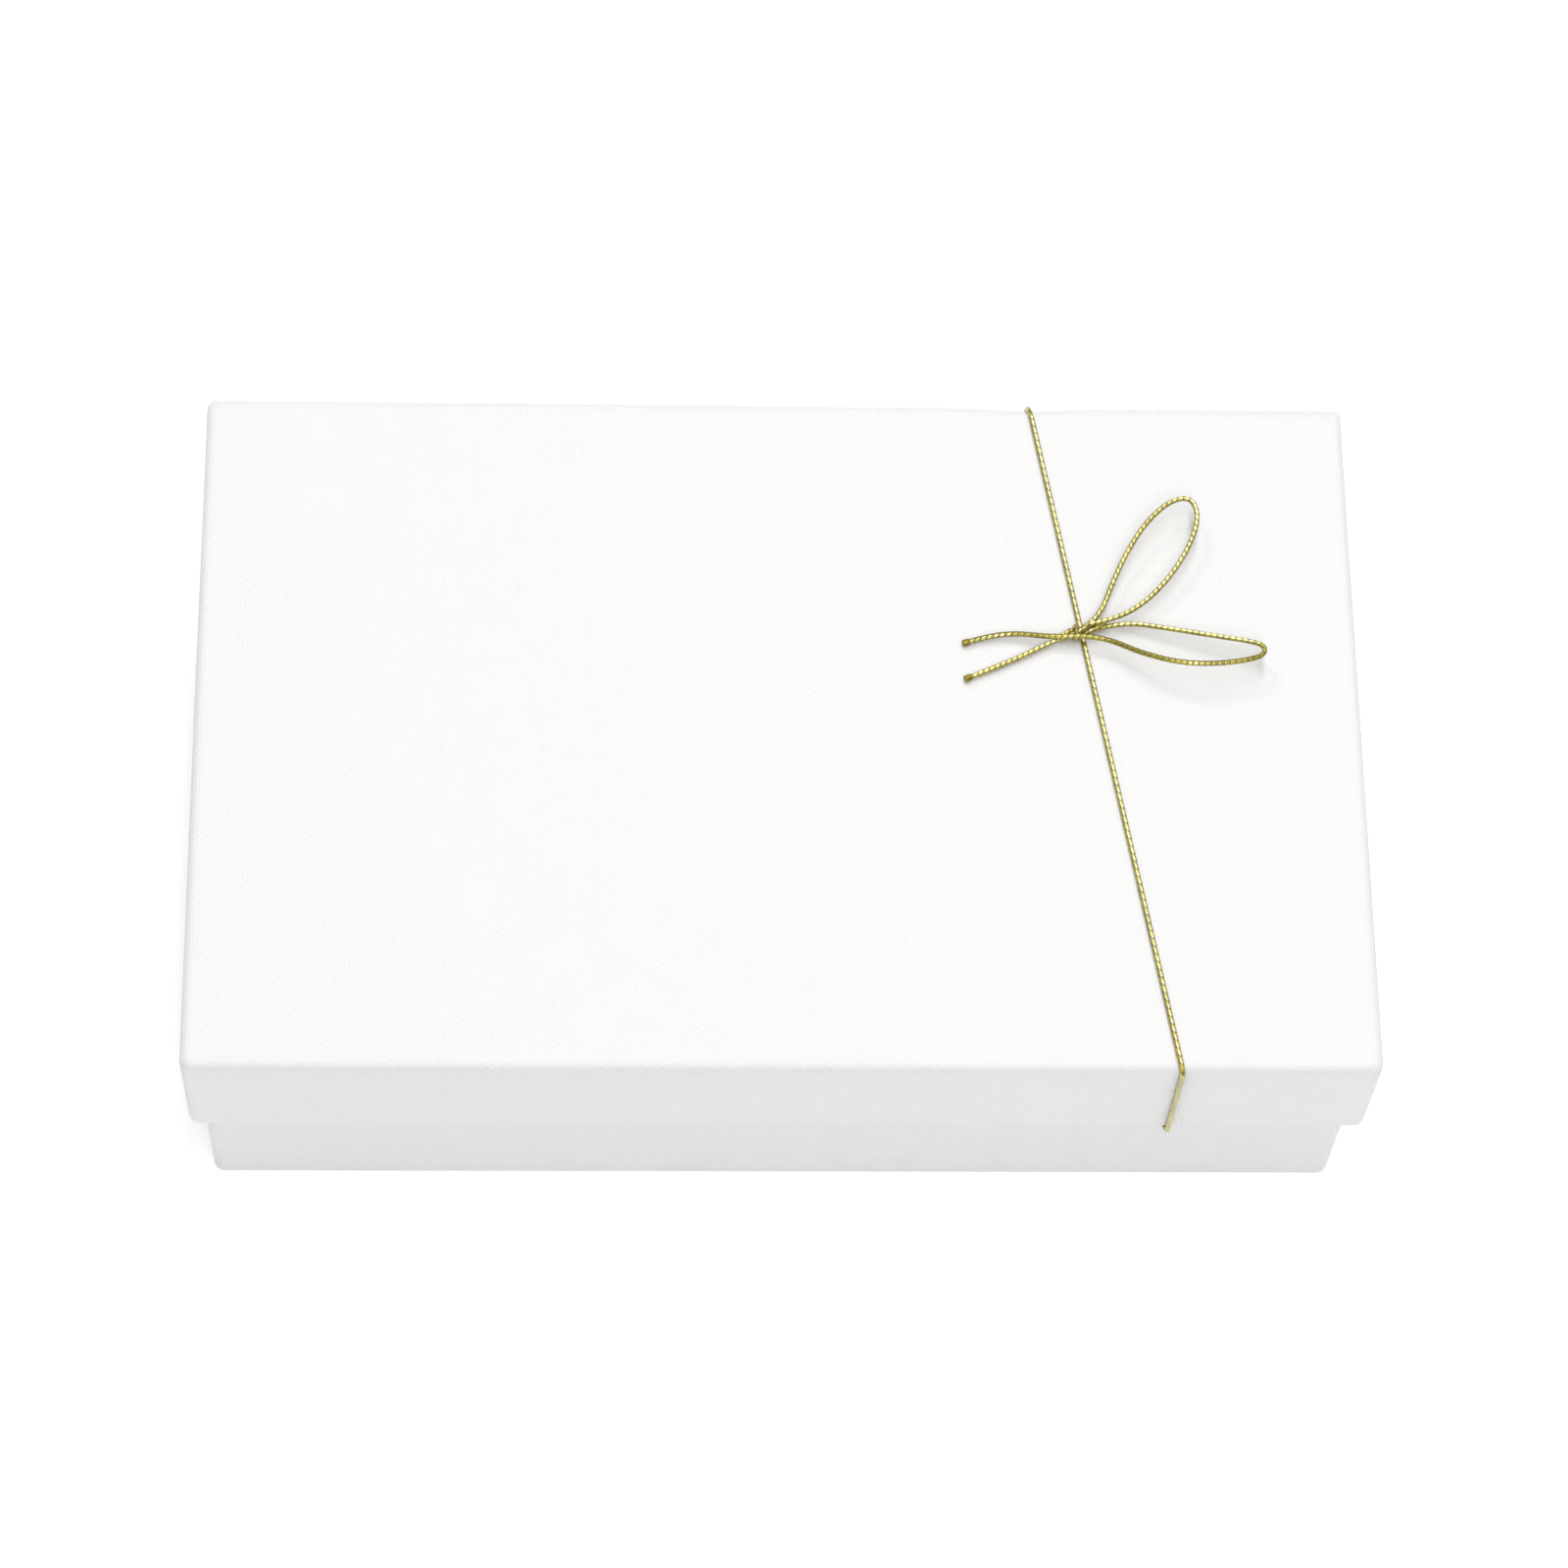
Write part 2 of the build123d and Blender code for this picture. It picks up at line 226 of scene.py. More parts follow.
def woundTube(name, line, diameter, pitch):  # foil turns as real ridges round a line
    rings, length = spacedAlong(line, pitch / cordMake["ringsPerTurn"])
    sides = cordMake["sides"]
    mesh = bpy.data.meshes.new(name)
    shape = bmesh.new()
    seamLayer = shape.verts.layers.float.new("seam")
    tangents = []
    for k in range(len(rings)):
        ahead, behind = rings[min(k + 1, len(rings) - 1)], rings[max(k - 1, 0)]
        tangents.append((ahead - behind).normalized())
    side = tangents[0].cross(Vector((0, 0, 1))).normalized()
    loops, lastTangent = [], tangents[0]
    step = length / (len(rings) - 1)
    facet = 2 * math.pi / cordMake["facets"]
    for k, (centre, tangent) in enumerate(zip(rings, tangents)):
        side = lastTangent.rotation_difference(tangent) @ side
        lastTangent = tangent
        up = tangent.cross(side)
        loop = []
        for j in range(sides):
            angle = 2 * math.pi * j / sides
            turn = (k * step / pitch + j / sides) % 1.0
            toSeam = min(turn, 1 - turn)
            seam = math.exp(-((toSeam / cordMake["seamWidth"]) ** 2))
            flat = math.cos(facet / 2) / math.cos((angle + 2 * math.pi) % facet - facet / 2)
            sunk = cordMake["seamDepth"] * seam + cordMake["crown"] * (2 * turn - 1) ** 2
            sunk += cordMake["lap"] * turn
            radius = diameter / 2 * (1 - sunk) * (1 - cordMake["creased"] * (1 - flat))
            vertex = shape.verts.new(centre + radius * (math.cos(angle) * side + math.sin(angle) * up))
            vertex[seamLayer] = seam
            loop.append(vertex)
        loops.append(loop)
    for a, b in zip(loops, loops[1:]):
        for j in range(sides):
            shape.faces.new((a[j], a[(j + 1) % sides], b[(j + 1) % sides], b[j]))
    shape.faces.new(loops[0][::-1])
    shape.faces.new(loops[-1])
    for face in shape.faces:
        face.smooth = len(face.verts) == 4
    shape.to_mesh(mesh)
    shape.free()
    return mesh, rings, length


foilMaterial = goldFoil()
lidLow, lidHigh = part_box("lid_wrap")
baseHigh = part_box("base_wrap")[1]

# band: one upright plane slanted across the lid, tight over the edges and under the rims
bandMake = {
    "frontX": 52.9,
    "backX": 35.6,
    "knotY": 14.4,
    "endGap": 0.52,  # from the knot's middle to each end
    "edgeRadii": {-1: 1.0, 1: 2.4},  # front, and the wider roll of the back
    "rimRadius": 0.4,
    "steady": 6.0,  # diameters from a bend to where the straight run has settled
}
stand = (cordMake["diameter"] / 2 + cordMake["clearance"]) * mm
slant = math.atan2((bandMake["frontX"] - bandMake["backX"]) * mm, lidHigh[1] - lidLow[1])
bandMiddleX = (bandMake["frontX"] + bandMake["backX"]) / 2 * mm
outerRun = (lidHigh[1] + stand) / math.cos(slant)
innerRun = (baseHigh[1] + stand) / math.cos(slant)
topRun = lidHigh[2] + stand
underRun = baseHigh[2] + stand
innerBend = (bandMake["rimRadius"] + cordMake["clearance"]) * mm + stand
rimBend = (outerRun - innerRun) / 2
stepShare = math.tan(math.radians(22.5))


def bandPlace(along, up):  # a place in the band's upright plane as a point of the box
    return Vector((bandMiddleX - along * math.sin(slant), along * math.cos(slant), up))


def cornerPair(along, up, bend, inward):  # points for a square corner, and for where its runs settle
    reach = bend * (1 - stepShare)
    step = 2 * bend * stepShare
    settled = bandMake["steady"] * cordMake["diameter"] * mm
    return [
        (along + inward * (reach + settled), up),
        (along + inward * (reach + step), up),
        (along + inward * reach, up),
        (along, up - reach),
        (along, up - reach - step),
        (along, up - reach - settled),
    ]


def bandHalf(side):  # from the lid's top round one rim to its underside
    step = rimBend * stepShare
    settled = bandMake["steady"] * cordMake["diameter"] * mm
    rim = lidLow[2]
    low = rim - rimBend
    edgeBend = bandMake["edgeRadii"][side] * mm + stand
    return (
        cornerPair(side * outerRun, topRun, edgeBend, -side)
        + [(side * outerRun, rim + settled), (side * outerRun, rim + step)]
        + [(side * outerRun, rim - step), (side * (outerRun - rimBend + step), low)]
        + [(side * (innerRun + rimBend - step), low), (side * innerRun, rim - step)]
        + [(side * innerRun, rim + step), (side * innerRun, rim + settled)]
        + cornerPair(side * innerRun, underRun, innerBend, -side)[::-1]
    )


knotAlong = bandMake["knotY"] * mm / math.cos(slant)
knotEnd = bandMake["endGap"] * mm
bandRoute = [(knotAlong + knotEnd, topRun)]
bandRoute += bandHalf(1)
bandRoute += bandHalf(-1)[::-1]
bandRoute += [(knotAlong - knotEnd, topRun)]

# bow: along and across the box, and the cord's middle over the lid's top, in millimetres
upperLoopRoute = [
    (42.6, 15.1, 1.8),
    (46.2, 15.7, 2.1),
    (50.2, 18.0, 2.1),
    (54.0, 21.9, 2.4),
    (56.9, 26.4, 2.9),
    (58.6, 31.1, 3.3),
    (57.6, 34.3, 3.5),
    (54.4, 33.6, 3.4),
    (50.8, 30.0, 3.1),
    (48.1, 25.5, 2.7),
    (46.0, 20.9, 2.1),
    (44.5, 16.9, 1.7),
    (41.4, 14.1, 1.3),
    (37.4, 12.8, 0.8),
    (32.4, 10.1, 0.65),
    (26.3, 7.5, 0.6),
]
rightLoopRoute = [
    (43.3, 14.7, 1.0),
    (47.6, 15.8, 1.2),
    (53.4, 14.6, 1.8),
    (60.2, 13.1, 2.4),
    (64.5, 12.2, 2.8),
    (66.7, 11.4, 3.1),
    (66.6, 9.7, 3.4),
    (64.3, 8.8, 3.7),
    (60.2, 8.0, 4.1),
    (55.0, 8.0, 4.2),
    (49.6, 10.0, 3.2),
    (45.6, 12.5, 2.2),
    (41.6, 13.3, 2.0),
    (37.4, 13.2, 1.6),
    (32.8, 14.0, 1.1),
    (29.0, 13.7, 0.8),
    (26.2, 12.9, 0.62),
]
cordDiameter = cordMake["diameter"] * mm
bandLine = followRoute("band_cord_line", [bandPlace(*place) for place in bandRoute])
bandMesh, bandRings, bandLength = woundTube(
    "bandCord", bandLine, cordDiameter, cordMake["bandPitch"] * mm
)
band = newPiece("bandCord", bandMesh, "lid", "gold_cord", foilMaterial, "band_cord")
tuple(bandRings[0])
[tuple(p) for p in bandRings]
for node, pieceName, route in (
    ("bow_cord_upper", "bowCordUpper", upperLoopRoute),
    ("bow_cord_right", "bowCordRight", rightLoopRoute),
):
    places = [Vector((x * mm, y * mm, lidHigh[2] + up * mm)) for x, y, up in route]
    line = followRoute(f"{node}_line", places)
    bowMesh, rings, bowLength = woundTube(pieceName, line, cordDiameter, cordMake["bowPitch"] * mm)
    bow = newPiece(pieceName, bowMesh, "lid", "gold_cord", foilMaterial, node)
    tuple(rings[0])
    [tuple(p) for p in rings]
print("cords laid")

# knot: the bow's strands drawn up side by side with a twist, and one wrap of the same cord round them
knotMake = {
    "heading": 18.0,  # degrees from the box's length
    "strands": 3,
    "cord": 0.8,
    "spread": 0.44,  # from the knot's middle line to a strand's
    "drawnIn": 0.6,  # share of the spread lost at the ends
    "length": 7.0,
    "turnsAlong": 0.7,
    "wrapCord": 0.62,  # the wrap is stretched thinner
    "wrapRadius": 0.92,
    "wrapTurns": 1.4,
    "wrapPlace": -0.9,
    "wrapPitch": 0.75,
    "strandSteps": 48,
    "wrapSteps": 60,
}


def knotMesh():
    low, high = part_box("bow_knot")
    middle = (Vector(low) + Vector(high)) / 2
    heading = math.radians(knotMake["heading"])
    bar = Vector((math.cos(heading), math.sin(heading), 0))
    across = Vector((-math.sin(heading), math.cos(heading), 0))
    up = Vector((0, 0, 1))

    def windPlace(along, radius, turns):
        angle = 2 * math.pi * turns
        return middle + bar * along + radius * (across * math.sin(angle) + up * math.cos(angle))

    lines = []
    for strand in range(knotMake["strands"]):
        line = []
        for k in range(knotMake["strandSteps"] + 1):
            share = k / knotMake["strandSteps"] - 0.5
            radius = knotMake["spread"] * mm * (1 - knotMake["drawnIn"] * abs(2 * share) ** 3)
            turns = share * knotMake["turnsAlong"] + strand / knotMake["strands"]
            line.append(windPlace(share * knotMake["length"] * mm, radius, turns))
        lines.append((line, knotMake["cord"]))
    line = []
    for k in range(knotMake["wrapSteps"] + 1):
        turns = (k / knotMake["wrapSteps"] - 0.5) * knotMake["wrapTurns"]
        along = (knotMake["wrapPlace"] + turns * knotMake["wrapPitch"]) * mm
        line.append(windPlace(along, knotMake["wrapRadius"] * mm, turns))
    lines.append((line, knotMake["wrapCord"]))
    shape = bmesh.new()
    for line, width in lines:
        part = woundTube("knotStrand", line, width * mm, cordMake["bowPitch"] * mm)[0]
        shape.from_mesh(part)
        bpy.data.meshes.remove(part)
    mesh = bpy.data.meshes.new("bowKnot")
    shape.to_mesh(mesh)
    shape.free()
    return mesh


newPiece("bowKnot", knotMesh(), "lid", "gold_cord", foilMaterial, "bow_knot")
print("knot tied")


# wrap paper
linenMake = {
    "threadPitch": 0.58,  # about 44 threads to the inch
    "emboss": 0.05,  # deep
    "slub": 6.0,  # length over which threads wander
    "wander": 0.9,  # threads
    "warp": 0.5,  # the warp stands prouder than the weft
    "weft": 0.16,
    "stair": 0.22,
    "fibre": 0.8,
    "pressed": ((1.43, 14.3, 1000), (11.1, 1.43, 1000)),  # patches along the threads each way
    "pitShade": 0.955,  # painted shade: how dark the gaps between threads are painted
}


def linenPaper():
    # Uncoated white cover paper embossed between linen rollers: matt, a plain weave of pressed threads
    # that catches raking light, with painted shade a breath darker down between the threads.
    material, tree, shader = startMaterial("linenEmbossedPaper", Roughness=0.62, IOR=1.5)
    sheet = addNode(tree, "ShaderNodeUVMap", uv_map="sheet").outputs[0]  # in metres on the flat sheet
    slub = patternScale(linenMake["slub"])
    wander = addNode(tree, "ShaderNodeTexNoise", {"Vector": sheet, "Scale": slub, "Detail": 2.0})
    drift = addNode(
        tree, "ShaderNodeVectorMath", {0: wander.outputs["Color"], 1: (0.5, 0.5, 0.5)}, operation="SUBTRACT"
    )
    drift = addNode(
        tree, "ShaderNodeVectorMath", {0: drift.outputs[0], "Scale": linenMake["wander"]}, operation="SCALE"
    )
    pitch = patternScale(linenMake["threadPitch"])
    threads = addNode(tree, "ShaderNodeVectorMath", {0: sheet, "Scale": pitch}, operation="SCALE")
    threads = addNode(tree, "ShaderNodeVectorMath", {0: threads.outputs[0], 1: drift.outputs[0]})
    apart = addNode(tree, "ShaderNodeSeparateXYZ", {0: threads.outputs[0]})
    ridges = []
    for axis, weight in ((0, linenMake["warp"]), (1, linenMake["weft"])):
        angle = addNode(tree, "ShaderNodeMath", {0: apart.outputs[axis], 1: math.pi}, operation="MULTIPLY")
        wave = addNode(tree, "ShaderNodeMath", {0: angle.outputs[0]}, operation="SINE")
        size = addNode(tree, "ShaderNodeMath", {0: wave.outputs[0]}, operation="ABSOLUTE")
        ridges.append(addNode(tree, "ShaderNodeMath", {0: size.outputs[0], 1: weight}, operation="MULTIPLY"))
    both = addNode(tree, "ShaderNodeMath", {0: ridges[0].outputs[0], 1: ridges[1].outputs[0]}).outputs[0]
    # threads pass over and under each other in steps, which reads as a fine diagonal
    along = addNode(tree, "ShaderNodeMath", {0: apart.outputs[0], 1: apart.outputs[1]}).outputs[0]
    angle = addNode(tree, "ShaderNodeMath", {0: along, 1: math.pi}, operation="MULTIPLY").outputs[0]
    stair = addNode(tree, "ShaderNodeMath", {0: angle}, operation="COSINE").outputs[0]
    weave = addNode(
        tree, "ShaderNodeMath", {0: stair, 1: linenMake["stair"], 2: both}, operation="MULTIPLY_ADD"
    ).outputs[0]
    # some threads are pressed harder than others
    stretched = []
    for sizes in linenMake["pressed"]:
        scales = [patternScale(size) for size in sizes]
        long = addNode(tree, "ShaderNodeVectorMath", {0: sheet, 1: scales}, operation="MULTIPLY").outputs[0]
        stretched.append(addNode(tree, "ShaderNodeTexNoise", {"Vector": long, "Scale": 1.0}).outputs[0])
    press = addNode(tree, "ShaderNodeMath", {0: stretched[0], 1: stretched[1]}, operation="ADD").outputs[0]
    height = addNode(tree, "ShaderNodeMath", {0: weave, 1: press}, operation="MULTIPLY").outputs[0]
    fibre = addNode(
        tree, "ShaderNodeTexNoise", {"Vector": sheet, "Scale": patternScale(0.417), "Detail": 5.0}
    ).outputs[0]
    height = addNode(
        tree, "ShaderNodeMath", {0: fibre, 1: linenMake["fibre"], 2: height}, operation="MULTIPLY_ADD"
    ).outputs[0]
    bump = addNode(
        tree, "ShaderNodeBump", {"Height": height, "Strength": 1.0, "Distance": linenMake["emboss"] * mm}
    )
    tree.links.new(bump.outputs[0], shader.inputs["Normal"])
    mottle = addNode(
        tree, "ShaderNodeTexNoise", {"Vector": sheet, "Scale": patternScale(7.69), "Detail": 7.0}
    ).outputs[0]
    paper = rampBetween(tree, mottle, 0.3, 0.7, ("#E6E6E6", "#E8E7E7"))
    # one cell in two, about 24 mm across, holds a stray dark speck up to a fifth of a millimetre in radius
    cells = addNode(tree, "ShaderNodeTexVoronoi", {"Vector": sheet, "Scale": patternScale(23.8)})
    chosen = addNode(tree, "ShaderNodeSeparateColor", {0: cells.outputs[1]}).outputs[0]
    size = addNode(
        tree, "ShaderNodeMath", {0: chosen, 1: 0.02, 2: -0.011}, operation="MULTIPLY_ADD"
    ).outputs[0]
    speck = addNode(tree, "ShaderNodeMath", {0: cells.outputs[0], 1: size}, operation="LESS_THAN").outputs[0]
    paper = addNode(
        tree, "ShaderNodeMix", {0: speck, 6: paper, 7: hexColour("#B9B4AC")}, data_type="RGBA"
    ).outputs[2]
    # painted shade: the colour darkens where the emboss height is low, down between the threads
    paintedPitShade = addNode(
        tree, "ShaderNodeMapRange", {0: height, 1: -0.2, 2: 0.8, 3: linenMake["pitShade"], 4: 1.0}
    ).outputs[0]
    colour = addNode(
        tree, "ShaderNodeMix", {0: 1.0, 6: paper, 7: paintedPitShade}, data_type="RGBA", blend_type="MULTIPLY"
    )
    tree.links.new(colour.outputs[2], shader.inputs["Base Color"])
    return material


paperMaterial = linenPaper()
wrapMake = {
    "corner": 1.5,
    "lidEdge": 1.3,  # roll of the top edges, larger along the back where the paper stands off
    "lidBackEdge": (1.5, 2.3),
    "backSwell": 0.5,  # how far the back wall bows out, but for where the cord holds it
    "swellStart": (8.0, 14.0),  # in from the back, and up from the rim, where the bow is full
    "cordHold": 6.0,
    "footEdge": 0.9,
    "lidTurnIn": 14.0,
    "baseTurnIn": 16.0,
    "rim": 0.4,
    "wall": 1.4,
    "paper": 0.18,
    "tightest": 0.12,  # least corner radius inside the fold
    "columnsLong": 84,
    "columnsShort": 54,
    "cornerColumns": 5,
    "rimRows": 5,
    "arcRows": 6,
    "wallRows": 8,
    "topRows": (0.7, 1.8, 4, 8, 13, 19, 26, 34, 42, 50),  # rows of the flat face, in from the edge
    "middle": 0.3,  # what the last of those rows leaves at the middle line
}


def smoothStep(value):
    value = min(max(value, 0.0), 1.0)
    return value * value * (3 - 2 * value)


def foldedWrap(name, node, mouthUp, turnIn, edgeAt, swellAt=None):
    # A sheet folded round a board and in over its rim. edgeAt gives the roll's radius at a place.
    low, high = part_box(node)
    half = ((high[0] - low[0]) / 2, (high[1] - low[1]) / 2)
    depth = high[2] - low[2]
    corner, rim, wall = (wrapMake[k] * mm for k in ("corner", "rim", "wall"))
    sides = [((0, -1), (1, 0)), ((1, 0), (0, 1)), ((0, 1), (-1, 0)), ((-1, 0), (0, -1))]

    def columns(side):  # places along a side: straight part as a share, corner part as an angle
        count = wrapMake["columnsLong"] if side % 2 == 0 else wrapMake["columnsShort"]
        turnCount = wrapMake["cornerColumns"]
        turn = [("turn", math.pi / 4 * (k + 1) / turnCount) for k in range(turnCount)]
        straight = [("run", 2 * k / count - 1) for k in range(count + 1)]
        return [(kind, -angle) for kind, angle in turn[::-1]] + straight + turn

    def place(side, column, inset):  # a point in plan, and how far along the side the paper has run
        normal, along = sides[side]
        reach = half[0] if normal[0] == 0 else half[1]
        out = half[1] if normal[0] == 0 else half[0]
        radius = max(corner - inset, wrapMake["tightest"] * mm)
        span, stand = reach - inset - radius, out - inset - radius
        kind, value = column
        if kind == "run":
            a, n, run = value * span, stand + radius, value * (reach - corner)
        else:
            sign = 1 if value > 0 else -1
            a = sign * span + radius * math.sin(value)
            n = stand + radius * math.cos(value)
            run = sign * (reach - corner) + corner * value
        return normal[0] * n + along[0] * a, normal[1] * n + along[1] * a, run

    def profile(edge):  # rows as inset from the outside and height from the mouth, then paper length
        rows = [(wall, turnIn), (wall, turnIn / 2), (wall, rim * 2)]
        quarter = [math.pi / 2 * k / (wrapMake["rimRows"] - 1) for k in range(wrapMake["rimRows"])]
        rows += [(wall - rim * (1 - math.cos(a)), rim * (1 - math.sin(a))) for a in quarter]
        rows += [(rim * (1 - math.sin(a)), rim * (1 - math.cos(a))) for a in quarter]
        for k in range(1, wrapMake["wallRows"] + 1):
            rows.append((0.0, rim + (depth - edge - rim) * k / wrapMake["wallRows"]))
        for k in range(1, wrapMake["arcRows"] + 1):
            angle = math.pi / 2 * k / wrapMake["arcRows"]
            rows.append((edge * (1 - math.cos(angle)), depth - edge * (1 - math.sin(angle))))
        lengths = [0.0]
        for (i0, h0), (i1, h1) in zip(rows, rows[1:]):
            lengths.append(lengths[-1] + math.hypot(i1 - i0, h1 - h0))
        return rows, lengths

    mesh = bpy.data.meshes.new(name)
    shape = bmesh.new()
    flatSheet = shape.loops.layers.uv.new("sheet")
    last = half[1] - wrapMake["middle"] * mm
    inward = [d * mm for d in wrapMake["topRows"] if d * mm < last - 0.1 * mm] + [last]
    insideRows = 3 + wrapMake["rimRows"]
    ring, info = [], []
    for side in range(4):
        for column in columns(side)[1:]:
            x, y, run = place(side, column, 0.0)
            edge = edgeAt(x, y)
            rows, lengths = profile(edge)
            outToTop = lengths[-1]
            points = []
            for inset, height in rows + [(max(edge, d), depth) for d in inward if d > edge]:
                px, py, _ = place(side, column, inset)
                z = high[2] - height if mouthUp else low[2] + height
                if swellAt and len(points) >= insideRows:
                    py += swellAt(px, py, z)
                points.append((px, py, z))
            while len(points) < len(rows) + len(inward):  # keeps every column the same length
                points.insert(len(rows), points[len(rows) - 1])
            ring.append([shape.verts.new(p) for p in points])
            info.append((side, run, lengths, outToTop, edge))
    rowCount = len(rows)
    columnCount = len(ring)
    for c in range(columnCount):
        a, b = ring[c - 1], ring[c]
        side, run, lengths, outToTop, edge = info[c]
        previousSide, previousRun = info[c - 1][0], info[c - 1][1]
        if previousSide != side:  # the fold line at the corner starts this side's own count
            reach = half[0] if side % 2 == 0 else half[1]
            previousRun = -(reach - corner) - corner * math.pi / 4
        normal, along = sides[side]
        out = half[1] if side % 2 == 0 else half[0]
        for r in range(len(a) - 1):
            corners = (a[r], b[r], b[r + 1], a[r + 1])
            if len({tuple(round(q, 8) for q in v.co) for v in corners}) < 3:
                continue
            face = shape.faces.new(corners)
            face.smooth = True
            flatFace = r >= rowCount - 1
            places = ((previousRun, r), (run, r), (run, r + 1), (previousRun, r + 1))
            for loop, (a1, row) in zip(face.loops, places):
                if flatFace:
                    loop[flatSheet].uv = loop.vert.co.xy
                else:
                    n1 = (out - edge) + (outToTop - lengths[min(row, rowCount - 1)])
                    loop[flatSheet].uv = (normal[0] * n1 + along[0] * a1, normal[1] * n1 + along[1] * a1)
    middle = shape.faces.new([column[-1] for column in ring])
    for loop in middle.loops:
        loop[flatSheet].uv = loop.vert.co.xy
    bmesh.ops.remove_doubles(shape, verts=shape.verts, dist=0.002 * mm)
    bmesh.ops.recalc_face_normals(shape, faces=shape.faces)
    shape.to_mesh(mesh)
    shape.free()
    return mesh


def thicken(piece, thickness):  # paper thickness inwards, applied
    layer = piece.modifiers.new("paper", "SOLIDIFY")
    layer.thickness = thickness
    layer.offset = -1
    layer.use_even_offset = True
    graph = bpy.context.evaluated_depsgraph_get()
    solid = bpy.data.meshes.new_from_object(piece.evaluated_get(graph))
    piece.modifiers.clear()
    piece.data = solid


def lidEdge(x, y):  # radius of the rolled top edge at a place on the outline
    back = max(0.0, (y - lidHigh[1]) / (wrapMake["corner"] * mm) + 1) ** 3
    share = (x - lidLow[0]) / (lidHigh[0] - lidLow[0])
    small, large = wrapMake["lidBackEdge"]
    return (wrapMake["lidEdge"] * (1 - back) + (small + (large - small) * share) * back) * mm


def backSwell(x, y, z):  # the back wall's outward bow
    inFrom, upFrom = wrapMake["swellStart"]
    back = smoothStep((y - lidHigh[1]) / (inFrom * mm) + 1)
    raised = smoothStep((z - lidLow[2]) / (upFrom * mm))
    cordX = bandMake["backX"] * mm
    free = 1 - math.exp(-(((x - cordX) / (wrapMake["cordHold"] * mm)) ** 2))
    return wrapMake["backSwell"] * mm * back * raised * free


def footEdge(x, y):
    return wrapMake["footEdge"] * mm


lidSheet = foldedWrap("lidWrap", "lid_wrap", False, wrapMake["lidTurnIn"] * mm, lidEdge, backSwell)
lidWrap = newPiece("lidWrap", lidSheet, "lid", "linen_paper", paperMaterial, "lid_wrap")
baseSheet = foldedWrap("baseWrap", "base_wrap", True, wrapMake["baseTurnIn"] * mm, footEdge)
baseWrap = newPiece("baseWrap", baseSheet, "base", "linen_paper", paperMaterial, "base_wrap")
for piece in (lidWrap, baseWrap):
    thicken(piece, wrapMake["paper"] * mm)
print("wraps folded")


# inner papers and boards, on their CAD pieces
def fibrousStock(name, colours, roughness, fleckSize, relief):  # any plain pulp stock: flecks, soft relief
    material, tree, shader = startMaterial(name, Roughness=roughness, IOR=1.5)
    place = addNode(tree, "ShaderNodeTexCoord").outputs["Object"]
    scale = patternScale(fleckSize)
    fleck = addNode(tree, "ShaderNodeTexNoise", {"Vector": place, "Scale": scale, "Detail": 6.0}).outputs[0]
    tree.links.new(rampBetween(tree, fleck, 0.35, 0.68, colours), shader.inputs["Base Color"])
    bump = addNode(tree, "ShaderNodeBump", {"Height": fleck, "Strength": 0.6, "Distance": relief * mm})
    tree.links.new(bump.outputs[0], shader.inputs["Normal"])
    return material


stocks = {
    # machine-finished lining paper: smooth and white with a faint cloud of fibres
    "lining_paper": fibrousStock("liningPaper", ("#F0EFEC", "#F7F6F4"), 0.7, 1.43, 0.02),
    # uncoated offset paper: a shade greyer, with coarser fibres
    "foot_paper": fibrousStock("footPaper", ("#E9E8E4", "#F1F0EC"), 0.75, 1.67, 0.03),
    # gummed kraft tape: brown, long-fibred
    "stay_paper": fibrousStock("kraftStayPaper", ("#A58460", "#C2A47D"), 0.8, 1.11, 0.03),
    # recycled greyboard: grey-brown with dark and pale flecks of old print and pulp
    "greyboard": fibrousStock("recycledGreyboard", ("#77736C", "#A7A29A"), 0.9, 0.91, 0.05),
    "cord_seal": sealedEnd(),
}
slots = {row["node"]: row["material_slot"] for row in frame["record"]["subparts"]}
for node, piece in frame["nodes"].items():
    material = stocks.get(slots[node], paperMaterial)
    if piece.material_slots:
        for slot in piece.material_slots:
            slot.material = material
    else:
        piece.data.materials.append(material)
print("stocks assigned")


# insert: cut foam under a flocked cover that is drawn down into its slits
insertMake = {
    "voxel": 0.9,
    "round": 2.2,
    "foamVoxel": 1.2,
    "foamRound": 1.0,
    "foamUnder": 1.5,  # how far the foam goes up inside the cover
    "crown": 0.35,
    "slitDip": 5.5,
    "slitHalf": 0.75,
    "slitEnd": 0.8,  # how much sooner the dip ends than the cut
    "lip": 1.5,
    "face": 4.0,  # depth below the top that is shaped
    "ring": (26.0, 0.0, 0.0, 0.0),  # length, place, turn in degrees
    "earrings": ((7.0, -23.0, -18.0, 0.0), (7.0, 23.0, -18.0, 0.0)),
    "chains": ((13.0, 26.0, 18.0, -45.0), (13.0, 26.0, 18.0, 45.0)),  # placed in from the back corners
}


